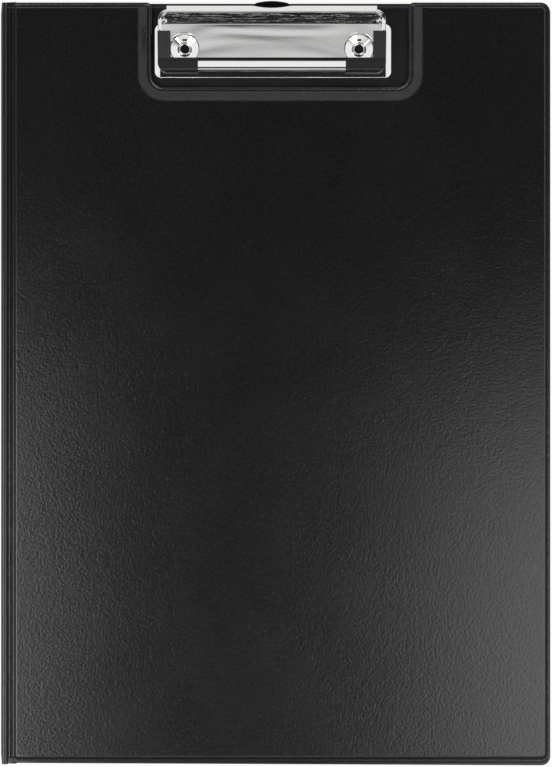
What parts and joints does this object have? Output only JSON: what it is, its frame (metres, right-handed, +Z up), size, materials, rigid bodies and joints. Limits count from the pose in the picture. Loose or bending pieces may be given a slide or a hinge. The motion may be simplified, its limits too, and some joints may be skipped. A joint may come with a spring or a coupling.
{
  "type": "clipboard folder",
  "caption": "Fold-over A4 clipboard folder: vinyl-covered back and front covers on a narrow spine, with a low lever clip riveted to the back cover.",
  "frame": {"origin": "middle of the closed folder's outline, on the surface that it lies on", "axes": "+X from the spine to the fore-edge, +Y towards the clip end, +Z up from the back cover to the front cover"},
  "size_m": [0.2328, 0.3238, 0.0165],
  "materials": {
    "black_vinyl": "fine-grained semi-gloss PVC sheet",
    "black_lining": "fine-grained semi-gloss PVC sheet",
    "pocket_vinyl": "smooth thin PVC sheet",
    "greyboard": "raw grey pulp board",
    "chrome": "bright nickel-chrome plate",
    "spring_steel": "drawn spring wire",
    "guard_rubber": "soft black vinyl rubber, moulded ribs",
    "tab_plastic": "smooth black moulding"
  },
  "bodies": {
    "back_cover": {"back_outer_vinyl": "black_vinyl", "back_lining": "black_lining", "back_board": "greyboard", "clip_base_plate": "chrome", "hinge_pin": "chrome", "left_jaw_spring": "spring_steel", "right_jaw_spring": "spring_steel", "left_rivet": "chrome", "right_rivet": "chrome"},
    "spine": {"spine_outer_vinyl": "black_vinyl", "spine_lining": "black_lining", "spine_strip": "greyboard"},
    "front_cover": {"front_outer_vinyl": "black_vinyl", "front_lining": "black_lining", "front_board": "greyboard", "inside_pocket": "pocket_vinyl"},
    "jaw": {"clip_jaw": "chrome", "left_corner_guard": "guard_rubber", "right_corner_guard": "guard_rubber"},
    "hanger": {"hanger_tab": "tab_plastic"}
  },
  "joints": [
    {"name": "spine_fold", "type": "hinge", "parent": "back_cover", "child": "spine", "pos_m": [-0.1149, 0, 0.00145], "axis": [0, -1, 0], "range_deg": [0, 180]},
    {"name": "cover_fold", "type": "hinge", "parent": "spine", "child": "front_cover", "pos_m": [-0.1149, 0, 0.00475], "axis": [0, -1, 0], "range_deg": [0, 180]},
    {"name": "jaw_open", "type": "hinge", "parent": "back_cover", "child": "jaw", "pos_m": [-0.00175, 0.1525, 0.0071], "axis": [-1, 0, 0], "range_deg": [0, 35], "stiffness_Nm_per_rad": 0.3, "springref_deg": -28.65, "deforming": ["left_jaw_spring", "right_jaw_spring"]},
    {"name": "hanger_slide", "type": "slide", "parent": "back_cover", "child": "hanger", "axis": [0, 1, 0], "range_m": [0, 0.012]}
  ]
}
